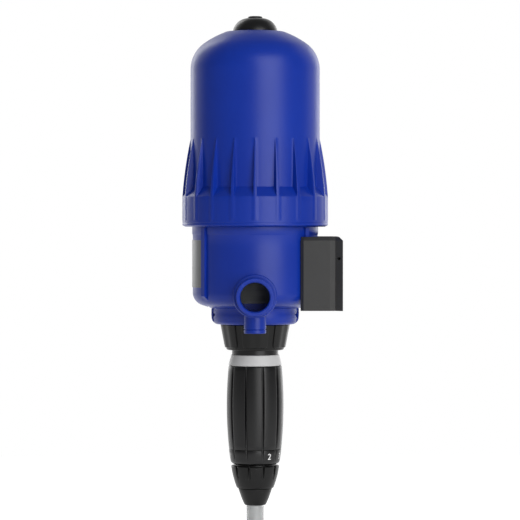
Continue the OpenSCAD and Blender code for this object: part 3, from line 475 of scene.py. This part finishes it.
def make_tie():
    """A flat strap with a clasp round the two turns and the tail."""
    x0, x1, y0, y1 = -70.05, -12.65, -77.75, -60.15
    low, high, outer, inner, to_corner = -298, -290, 4, 2.9, 4
    corners = ((x0 + to_corner, y0 + to_corner, 180), (x1 - to_corner, y0 + to_corner, 270),
               (x1 - to_corner, y1 - to_corner, 0), (x0 + to_corner, y1 - to_corner, 90))

    def ring(z, r):
        turns = [(cx, cy, math.radians(start + a)) for cx, cy, start in corners for a in range(0, 91, 15)]
        return [Vector((cx + r * math.cos(t), cy + r * math.sin(t), z)) for cx, cy, t in turns]

    rings = [ring(low, outer), ring(high, outer), ring(high, inner), ring(low, inner)]
    strap = finished(bridged(rings), "strap", FROM_MOUNT)
    clasp = block((x0 + 21.1, y0 - 0.05, low - 0.4), (x0 + 31.1, y0 + 1.5, high + 0.4))
    return softened(joined("hose_strap", strap, finished(clasp, "clasp", FROM_MOUNT)), 0.25)


def make_strainer():
    """A barbed foot strainer with eight slots."""
    at = FROM_MOUNT @ Matrix.Translation((TAIL_X, -COIL_R, STRAINER_TOP))
    strainer = turned(
        "slotted_strainer", (6.6, 0), (7.1, 0), (7.4, -0.4), (7.4, -3), (7.9, -3.4), (7.4, -3.8), (7.4, -6),
        (7.9, -6.4), (7.4, -6.8), (7.4, -11.6), (8.7, -15.6), (9, -16.3), (9, -55.5), (8.5, -55.9), (8.5, -57),
        (9, -57.4), (9, -59), (8.1, -60), (0.01, -60), (0.01, -57), (7.2, -57), (7.2, -14), (6.6, -13),
        place=at, steps=64)
    for i in range(4):
        boolean(strainer, finished(block((-12, -0.8, -52), (12, 0.8, -20), i * 45), "slot", at))
    smooth_but(strainer.data, 30)
    return strainer


# Bell

GUSSETS = 20
BELL_R, BELL_BORE, BAND_R = 46.6, 43, 52.5
BAND_FOOT, BAND_TOP, SLOPE_TOP, GUSSET_TOP = 4.6, 21.5, 28.5, 63.4
SLOPE_TOP_R, BAND_DRAFT = 46.7, 0.05
SHOULDER, SHOULDER_R, SHOULDER_INNER_R = (23.6, 113.35), 23, 19.4
STRIP_PROUD, STRIP_HALF = 0.08, 1.25            # a gusset's low strip down the band
GUSSET_RISE, GUSSET_BULGE, GUSSET_TOP_R = 41, 0.75, 46.75
GUSSET_FOOT_HALF, GUSSET_TIP_HALF = 1.15, 0.32
GUSSET_END, GUSSET_FADE = 63.2, 1.2
BETWEEN_GUSSETS = (3.6, 4.9, 6.2, 7.6, 9)       # degrees from a gusset's middle


def gusset_sector(z):
    """Half of one of the bell's twenty sectors at a height, as angles and radii from the gusset out."""
    if z > GUSSET_TOP or z <= BAND_FOOT:
        wall = BELL_R if z > GUSSET_TOP else BAND_R
        return [(a, wall) for a in (0, 0.5, 0.9, 1.2, 1.5, 1.9, 2.6, *BETWEEN_GUSSETS)]
    if z < BAND_TOP:
        wall = blend(BAND_R, BAND_R - BAND_DRAFT, z / BAND_TOP)
        proud, half = STRIP_PROUD, STRIP_HALF
    else:
        slope = (z - BAND_TOP) / (SLOPE_TOP - BAND_TOP)
        wall = blend(BAND_R - BAND_DRAFT, SLOPE_TOP_R, slope) if z < SLOPE_TOP else BELL_R
        up = min(1, (z - BAND_TOP) / GUSSET_RISE)
        bulge = GUSSET_BULGE * 4 * up * (1 - up)
        fade = max(0.0, min(1.0, (GUSSET_END - z) / GUSSET_FADE))
        proud = max(0.0, blend(BAND_R, GUSSET_TOP_R, up) + bulge - wall) * fade
        half = blend(GUSSET_FOOT_HALF, GUSSET_TIP_HALF, up)
    degrees = math.degrees(1 / wall)            # for each millimetre along the wall
    soft, foot = min(0.14, proud * 0.4), min(0.35, proud * 0.5)
    tip, side = wall + proud, half + 0.1
    section = [(0, tip), (half - soft, tip), (half - soft * 0.3, tip - soft * 0.3), (half, tip - soft),
               (side, wall + foot), (side + foot * 0.3, wall + foot * 0.3), (side + foot, wall)]
    return [(x * degrees, r) for x, r in section] + [(a, wall) for a in BETWEEN_GUSSETS]


def arc(centre, r, start, end, steps):
    turns = (math.radians(blend(start, end, i / steps)) for i in range(steps + 1))
    return [(centre[0] + r * math.cos(t), centre[1] + r * math.sin(t)) for t in turns]


def curve(start, via, end, steps):
    """A curve between two points that leaves and meets them towards a third."""
    return [tuple(blend(blend(a, b, t), blend(b, c, t), t) for a, b, c in zip(start, via, end))
            for t in (i / steps for i in range(steps + 1))]


def make_bell():
    angles = [a for a, _ in gusset_sector(GUSSET_TOP + 1)]

    def round_ring(r, z):
        return sector_ring(z, [(a, r) for a in angles], GUSSETS)

    seat = [(2.7, 132.9), (2.7, 136.9), (16.4, 136.9), (16.4, 140.3), (16.8, 140.65), (19.8, 140.6),
            (20.8, 140.5), (21.7, 140.25)]
    crown = curve((22.6, 139.85), (30.1, 136.88), (36.8, 132.19), 9)[:-1] + arc(SHOULDER, SHOULDER_R, 55, 0, 15)
    side = [(BELL_R, z) for z in (108, 100, 90, 80, 72, 66)]
    ribbed = (64.2, 63.2, 62.9, 62.5, 62, 60, 57, 53, 48, 43, 38, 34, 31, 29.1, 28.5, 27.7, 25.5, 23.5, 22.3,
              21.6, 21.2, 18, 13, 8, 5.4, 4.8)
    foot = [(BAND_R, 4.5), (BAND_R, 3.05), (52.3, 2.8), (52.3, 2.6), (52.45, 2.3)]
    foot += arc((51.7, 1.5), 0.8, 25, -45, 3) + [(50.3, 0), (49.2, 0), (49.2, 16.5)]
    inner = [(BELL_BORE, z) for z in (16.5, 60, SHOULDER[1])] + arc(SHOULDER, SHOULDER_INNER_R, 0, 62, 8)
    inner += [(19.7, 137.4), (19.7, 132.9), (10, 132.9), (10, 122.3), (7.6, 122.3), (7.6, 132.9)]
    rings = [round_ring(r, z) for r, z in seat + crown + side]
    rings += [sector_ring(z, gusset_sector(z), GUSSETS) for z in ribbed]
    rings += [round_ring(r, z) for r, z in foot + inner]
    return finished(bridged(rings), "ribbed_bell", sharp=30)


# Lower body, whose fins on the wall's side carry the bracket

PORT_Z, STUB_Y = -49, -38.8
PORTS = (("outlet", 90), ("inlet", -90))
FIN_AZIMUTHS = (52.6, 127.4)
PIPE_ROOT, PIPE_CREST, PIPE_PITCH = 12.0, 13.15, 1.814
PORT_BORE = 10.35


def thread(low, high):
    """The ridge of the pipe thread, wound up along the axis."""
    flat, rise = PIPE_PITCH * 0.12, PIPE_PITCH * 0.36
    bm = bmesh.new()
    outline(bm, (PIPE_ROOT, low), (PIPE_CREST, low + rise), (PIPE_CREST, low + rise + flat),
            (PIPE_ROOT, low + 2 * rise + flat))
    helix(bm, PIPE_PITCH, (high - low) / PIPE_PITCH - 1, 48)
    return bm


def make_body():
    side = [(45.1, z) for z in (-6, -14, -22, -30, -38, -47.23)]
    body = turned(
        "ported_body", (0, 16.5), (48.9, 16.5), (48.9, 1), (45.5, 0.5), (45.5, -4.95), (45.35, -5.2), *side,
        (35.4, -47.23, -72), (31.8, -58.6), (31, -58.7), (30.7, -59.3), (30.9, -63), (30.7, -66.3),
        (30.4, -67.1), (27.3, -67.1, -88), (20, -70.2), (20, -80.2), (0, -80.2), close=False)
    threads = []
    for name, angle in PORTS:
        at = placed((0, 0, PORT_Z), angle)
        port = turned(
            name, (0, 20), (15.6, 20), (15.6, 45.7), (14.5, 45.7, 90), (13.3, 46.8), (12.9, 47.6),
            (12.05, 48.4), (12.05, 70.2), (12.5, 70.9), (13.2, 70.9), (13.2, 71.5), (12.7, 71.5, 90), (0, 72),
            close=False, place=at, steps=96)
        boolean(body, port, "UNION")
        threads.append(finished(thread(48.6, 71.4), name + "_thread", at, sharp=50))
    stub = turned(
        "stub", (0, -45), (7.85, -45), (7.85, -72.2), (7.45, -72.5), (7.45, -72.8), (7.85, -73.1),
        (7.85, -75.1), (7.6, -75.4), (0, -75.4), close=False, place=placed((0, STUB_Y, 0)), steps=64)
    boolean(body, stub, "UNION")
    for a in (*FIN_AZIMUTHS, *(-a for a in FIN_AZIMUTHS)):
        fin = slab([(42.4, -0.4), (46.9, -0.4), (46.9, -49.5), (42.4, -53.4)], 2, a - 90)
        boolean(body, finished(fin, "fin"), "UNION")
    for a in (0, 180):
        notch = slab([(28.6, -63.2), (34, -56.2), (34, -70.2)], 20, a)
        boolean(body, finished(notch, "notch"))
        lug = segment("lug", [(27, -69.6), (28.6, -69.5), (30, -68.9), (31, -67.7), (31.5, -66), (31.75, -63.5),
                              (31.7, -60), (31.4, -58), (27, -58)], a - 9.4, 18.8, 8)
        boolean(body, lug, "UNION")
    hollow = turned("hollow", (0, 18), (41.4, 18), (41.4, -48.6), (35.4, -48.6, -90), (26.2, -54.6),
                    (26.2, -66), (16, -66), (16, -82), (0, -82), close=False)
    boolean(body, hollow)
    for _, angle in PORTS:
        bore = turned("bore", (0, 31), (PORT_BORE, 31), (PORT_BORE, 71.3), (11.1, 72.05), (11.1, 73), (0, 73),
                      close=False, place=placed((0, 0, PORT_Z), angle), steps=96)
        boolean(body, bore)
    smooth_but(body.data, EDGE_ANGLE)
    return joined("ported_lower_body", body, *threads)


# Wall bracket

WALL_X = 62.3
BRACKET_TOP, BRACKET_FOOT = -7.1, -59.7


def make_bracket():
    half = [(27.8, -31.9), (31.8, -31.9), (34.4, -34.5), (53.1, -34.5), (56.9, -33.2), (WALL_X, -37.5)]
    bm = prism(half + [(x, -y) for x, y in reversed(half)], BRACKET_FOOT, BRACKET_TOP)
    rim = [e for e in bm.edges if all(v.co.z > BRACKET_TOP - 0.01 and v.co.x > 30 for v in e.verts)]
    bmesh.ops.bevel(bm, geom=rim, offset=2.6, segments=1, profile=0.5, affect="EDGES", material=-1)
    bracket = finished(bm, "fin_bracket", sharp=20)
    for low, high in ((-70, -34.9), (-31.9, 0)):
        boolean(bracket, finished(block((10, -28.1, low), (56.9, 28.1, high)), "pocket"))
    boolean(bracket, turned("clearance", (0, -80), (45.7, -80), (45.7, 10), (0, 10), close=False))
    for a in FIN_AZIMUTHS:
        slot = slab([(42.4, 0), (47.1, 0), (47.1, -49.8), (42.4, -54)], 2.15, a - 90)
        boolean(bracket, finished(slot, "fin_slot"))
    for side in (-1, 1):
        boolean(bracket, turned("tether", (0, -8), (1.1, -8), (1.1, 8), (0, 8), close=False, steps=24,
                                place=placed((59.6, side * 37.5, -22.5), 90)))
        for height in (-1, 1):
            at = placed((WALL_X, side * 18, -33.4 + height * 17), -90, "Y")
            boolean(bracket, turned("screw_hole", (0, -1), (2.6, -1), (2.6, 4.3), (5, 4.3), (5, 8), (0, 8),
                                    close=False, place=at, steps=32))
    bracket.data.shade_flat()
    return softened(bracket, 0.4)


# Nuts and sleeves of the dosing stem

PADS, PAD_REACH, PAD_HEIGHT = 6, 24, 1.1
NUT_TOP, NUT_HEIGHT, NUT_TOP_R, NUT_FOOT_R = -70.25, 18.5, 25.2, 21.7
GROOVES = 10


def make_ring_nut():
    def pad_ring(z, reach=PAD_REACH, lift=1.0, drop=0.0):
        """The nut's outline with its pads, each out to an angle and raised by its share of their height."""
        full = blend(NUT_TOP_R, NUT_FOOT_R, (NUT_TOP - z) / NUT_HEIGHT) - drop
        base = full - PAD_HEIGHT
        crest = blend(base, full, lift)
        half = [(0, crest - 0.5 * lift), (3.5, crest - 0.42 * lift), (7, crest - 0.2 * lift), (10, crest),
                (14, crest), (reach - 4, crest), (reach - 1.3, crest), (reach - 0.4, blend(base, crest, 0.82)),
                (reach, blend(base, crest, 0.45)), (reach + 0.3, blend(base, crest, 0.04)),
                (27, base), (30, base)]
        return sector_ring(z, half, PADS)

    def plain(r, z):
        return sector_ring(z, [(a, r) for a in (0, 3.5, 7, 10, 14, 20, 23.2, 23.75, 24, 24.5, 27, 30)], PADS)

    rings = [plain(20.05, -70.35), plain(23.2, -70.3), pad_ring(-70.35, drop=0.4), pad_ring(-70.8)]
    rings += [pad_ring(z) for z in (-73, -76, -79, -82, -84)]
    for step, short in ((0.35, 0.15), (0.6, 0.55), (0.8, 1.3), (0.93, 2.6)):
        rings.append(pad_ring(-84 - 2.85 * step, PAD_REACH - short, drop=0.02))
    rings += [pad_ring(-86.9, 19.5, 0.85), pad_ring(-87.15, 18.4, 0.3), pad_ring(-87.3, 18, 0.0)]
    rings += [pad_ring(-88.3, 18, 0.0, 0.05), pad_ring(-88.75, 18, 0.0, 0.5)]
    rings += [plain(16.8, -88.75), plain(16.8, -83.95), plain(20.05, -83.95)]
    return finished(bridged(rings), "padded_ring_nut", sharp=28)


def grooved(name, first, floor, half_width, outer, inner):
    """A turned piece with ten grip grooves down its outer side: outer is the grooved part of its section."""
    middle = floor + half_width

    def ring(r, z, cut=True):
        reach = math.degrees(math.asin(half_width / r))
        half = []
        for share in (0, 0.4, 0.75, 0.94, 1):
            x = share * half_width
            aside = math.asin(x / r)
            deep = (middle - math.sqrt(max(0.0, half_width ** 2 - x * x))) / math.cos(aside)
            half.append((math.degrees(aside), min(r, deep) if cut else r))
        lip = r - 0.14 if cut and r > middle + 0.1 else r
        half += [(reach + 0.12, lip), (reach + 0.9, r), (reach + 4, r), (12, r), (18, r)]
        return sector_ring(z, half, GROOVES, first)

    rings = [ring(r, z) for r, z in outer] + [ring(r, z, False) for r, z in inner]
    return finished(bridged(rings), name, sharp=30)


def barrel(top, foot, bulge, steps):
    """A side that bulges between two radii, as points from its top down."""
    return [(blend(top[0], foot[0], t) + 4 * bulge * t * (1 - t), blend(top[1], foot[1], t))
            for t in (i / steps for i in range(steps + 1))]


def make_sleeve():
    outer = [(18.5, -100.45), (18.9, -100.52), *barrel((19.2, -100.95), (18.9, -159.9), 1.45, 22),
             (18.7, -160.25), (18.4, -160.35)]
    inner = [(16.5, -160.35), (16.5, -162.95), (15.1, -162.95), (15.1, -100.45)]
    return grooved("grip_sleeve", -73, 18.4, 0.72, outer, inner)


def make_scale_ring():
    outer = [(18.3, -160.42), (18.75, -160.6), (18.9, -161), (18.5, -164.2), (18.1, -167.15), (17.85, -168.6),
             (17.5, -169.75), (16.7, -170.6), (14.9, -171.5), (14.6, -171.55)]
    inner = [(13.7, -171.55), (13.7, -165.35), (15.3, -165.35), (15.3, -163), (16.55, -163), (16.55, -160.42)]
    return grooved("figure_ring", -73, 17.9, 0.72, outer, inner)


def make_retaining_nut():
    outer = [(16.7, -172.35), (17.05, -172.45), *barrel((17.3, -172.85), (13.5, -187.9), 0.5, 14),
             (13.1, -188.5), (12.7, -188.65)]
    inner = [(6.3, -188.65), (6.3, -182.05), (13.5, -182.05), (13.5, -172.35)]
    return grooved("suction_end_nut", -105.4, 15.2, 0.9, outer, inner)


def figure(text, azimuth):
    """A printed figure laid on the scale ring, which tapers down."""
    foot, foot_r, low, span, low_r, high_r, proud = -167.1, 18.4, -167.15, 6.15, 18.13, 18.88, 0.02
    label = bpy.data.curves.new("figure", "FONT")
    label.body, label.size, label.align_x, label.extrude, label.offset = text, 6.2, "CENTER", 0.02, 0.03
    bm = drawn(label)
    bmesh.ops.subdivide_edges(bm, edges=bm.edges[:], cuts=1)
    for v in bm.verts:
        z = foot + v.co.y
        r = blend(low_r, high_r, (z - low) / span) + v.co.z + proud
        turn = math.radians(azimuth - 90) + v.co.x / foot_r
        v.co = (r * math.cos(turn), r * math.sin(turn), z)
    return finished(bm, "figure_" + text)


def wound(name, r, wire, low, turns, pitch, place=PLACE):
    """A coil spring wound from round wire."""
    bm = bmesh.new()
    start = Matrix.Translation((r, 0, low + wire)) @ Matrix.Rotation(math.radians(90), 4, "X")
    bmesh.ops.create_circle(bm, segments=10, radius=wire, cap_ends=True, matrix=start)
    helix(bm, pitch, turns, 26)
    return finished(bm, name, place)


# The hose is made first, because the frame may ask for more room for it

route = hose_route()
hose = dressed(make_hose(route), "housing", VINYL, "clear_hose", "suction_hose", "hose_coil")
tie = dressed(make_tie(), "housing", BLACK, "black_plastic", "hose_tie")
strainer = dressed(make_strainer(), "housing", BLACK, "black_plastic", "foot_strainer")

# Outer pieces

dressed(make_bell(), "housing", BLUE, "blue_plastic", "bell_housing")
dressed(make_body(), "housing", BLUE, "blue_plastic", "lower_body")
dressed(make_bracket(), "housing", CHARCOAL, "bracket_plastic", "wall_bracket")
plate = segment("rating_plate", [(45.12, -43.5), (45.45, -43.5), (45.45, -9.6), (45.12, -9.6)], 147, 66, 40)
dressed(softened(plate, 0.12), "housing", FOIL, "stainless")
dressed(make_ring_nut(), "housing", NUT_BLACK, "black_plastic", "ring_nut")

ring = turned("locking_collar", (15.1, -92.35), (16.9, -92.35), (16.7, -93.1, -80), (19.1, -99.2),
              (18.4, -99.35, -85), (18.2, -100.25), (15.1, -100.25))
dressed(softened(ring, 0.2), "locking_ring", PALE_GREY, "grey_plastic", "lock_ring")
dressed(make_sleeve(), "adjuster", BLACK, "black_plastic", "adjusting_sleeve")
dressed(make_scale_ring(), "adjuster", BLACK, "black_plastic", "scale_ring")
for text, azimuth in (("1", -74), ("2", 34), ("3", 70), ("4", 106), ("5", 142), ("6", 178)):
    dressed(figure(text, azimuth), "adjuster", WHITE_PRINT, "natural_plastic")
dressed(make_retaining_nut(), "housing", NUT_BLACK, "black_plastic", "retaining_nut")
nut = turned("hose_clamp_nut", (6.65, -200.9), (6.9, -200.95), (7, -200.95), (7, -199.95, 75), (8.8, -198.5),
             (10, -195.6), (11.2, -192.2), (12.1, -189.5), (12.1, -189.05), (11.9, -188.95), (6.65, -188.95),
             steps=96)
dressed(nut, "housing", NUT_BLACK, "black_plastic", "hose_nut")
button = turned("bleed_cap", (0, 147), (11.1, 147), (11.1, 143.5), (13.7, 143.5), (13.7, 140.2), (16.0, 140.2),
                (16.1, 140.4), (16.1, 140.93), (4.97, 138.97, 70), (5.4, 150.35), (5.3, 150.5),
                (4.2, 150.5, 85), (0, 151.6), close=False)
dressed(button, "bleed_valve", BLACK, "black_plastic", "bleed_button")

# Springs: the two of the bleed and check valves, each then with a mesh of its own, and the pair of the toggle

bleed_coil = wound("bleed_coil", 5.4, 0.5, 136.95, 5, 1.9)
dressed(bleed_coil, "housing", STEEL, "stainless", "bleed_spring")
check_coil = wound("check_coil", 3, 0.4, -176.95, 4, 1.2625)
dressed(check_coil, "housing", STEEL, "stainless", "check_valve_spring")
pair = [wound("toggle", 2.7, 0.6, low, 5, 1.14, place=placed((x, 0, 60), 90))
        for x, low in ((-14, -3.7), (14, -3.2))]
dressed(joined("toggle_coils", *pair), "motor_piston", STEEL, "stainless", "toggle_springs")
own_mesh(bleed_coil)
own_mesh(check_coil)

# Finishes of the inner pieces, which keep their own shapes

FINISH_OF = {
    LINER_GREY: ("piston_liner",),
    BLACK: ("dosing_stem", "upper_valves", "lower_valves", "check_valve_poppet"),
    INNER_GREY: ("valve_cage", "rocker_left", "rocker_right", "valve_carrier"),
    NATURAL: ("piston_body", "small_piston", "plunger", "dosing_cylinder", "suction_valve_body",
              "check_valve_cap"),
    STEEL: ("plunger_rod", "pivot_pins", "trip_rod", "bleed_stem"),
    RUBBER: ("bell_seal", "liner_seal", "bleed_seal", "piston_seal", "small_piston_seal", "plunger_seal",
             "stem_seal", "cylinder_seal", "valve_gasket"),
}
for finish, names in FINISH_OF.items():
    for name in names:
        coated(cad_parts[name], finish)


# Studio: a big soft window to the right of the camera, two rim lamps behind, and a white room

AIM = Vector((-0.06, 0, 0.05))
WHITE = (1, 1, 1, 1)
ROOM = 0.27             # how brightly the room lights the pump
FLOOR_Z, PAPER_FOOT, PAPER_TOP, PAPER_R = -0.42, -0.41, 3.2, 3.2


def lamp(name, azimuth, distance, height, size, power):
    """An area lamp at an azimuth from the camera's side, aimed at the pump."""
    turn = math.radians(azimuth)
    light = bpy.data.lights.new(name, "AREA")
    light.shape, light.size, light.size_y, light.energy = "RECTANGLE", *size, power
    stand = linked(name, light)
    stand.location = AIM + Vector((distance * math.sin(turn), -distance * math.cos(turn), height))
    stand.rotation_euler = (AIM - stand.location).to_track_quat("-Z", "Y").to_euler()


lamp("key_window", 27, 2.2, 0.55, (1.7, 2.2), 44)
lamp("left_rim", -148, 2.4, 1.0, (0.9, 2.4), 17)
lamp("right_rim", 150, 2.4, 0.2, (0.8, 1.8), 8)


def rays(f, kind):
    """1 for the rays of one kind, 0 for the others."""
    return f.node("ShaderNodeLightPath", out="Is %s Ray" % kind)


def shown(f):
    """1 for the rays that show the background: to the camera, in a gloss and through clear plastic."""
    return rays(f, "Camera") | rays(f, "Glossy") | rays(f, "Transmission")


def light_room():
    """A room that lights the pump evenly and shows white behind it."""
    world = bpy.data.worlds.new("white_room")
    bpy.context.scene.world = world
    f = Finish("white_room", world)
    even = f.node("ShaderNodeBackground", Color=WHITE, Strength=ROOM)
    white = f.node("ShaderNodeBackground", Color=WHITE, Strength=1.0)
    f.output(f.either(rays(f, "Camera") | rays(f, "Transmission"), even, white), "ShaderNodeOutputWorld")


def pale_floor():
    """Pale floor whose own colour gives the white of the picture, with the pump's shadow on it."""
    f = Finish("pale_floor")
    colour = f.tone(f.noise(7, detail=3), (0.3, (0.86, 0.86, 0.86)), (0.7, (0.9, 0.9, 0.9)))
    matt = f.node("ShaderNodeBsdfDiffuse", Color=colour)
    glow = f.node("ShaderNodeEmission", Color=WHITE, Strength=0.8)
    return f.output(f.either(shown(f), matt, f.node("ShaderNodeAddShader", **{"0": matt, "1": glow})))


def white_backdrop():
    """White paper round the back of the pump: as bright as the room, and white where it shows."""
    f = Finish("white_backdrop")
    even = f.node("ShaderNodeEmission", Color=WHITE, Strength=ROOM)
    white = f.node("ShaderNodeEmission", Color=WHITE, Strength=1.0)
    return f.output(f.either(shown(f), even, white))


light_room()
floor = bmesh.new()
bmesh.ops.create_grid(floor, x_segments=2, y_segments=2, size=9)
bmesh.ops.translate(floor, verts=floor.verts[:], vec=(0, 3, FLOOR_Z))
paper = bmesh.new()
outline(paper, (PAPER_R, PAPER_FOOT), (PAPER_R, PAPER_TOP))
spun(swung(paper, 15), 40, 150)
for bm, name, finish in ((floor, "pale_floor", pale_floor()), (paper, "white_backdrop", white_backdrop())):
    ground = as_object(bm, name)
    coated(ground, finish)

bpy.context.scene.view_settings.view_transform = "Standard"
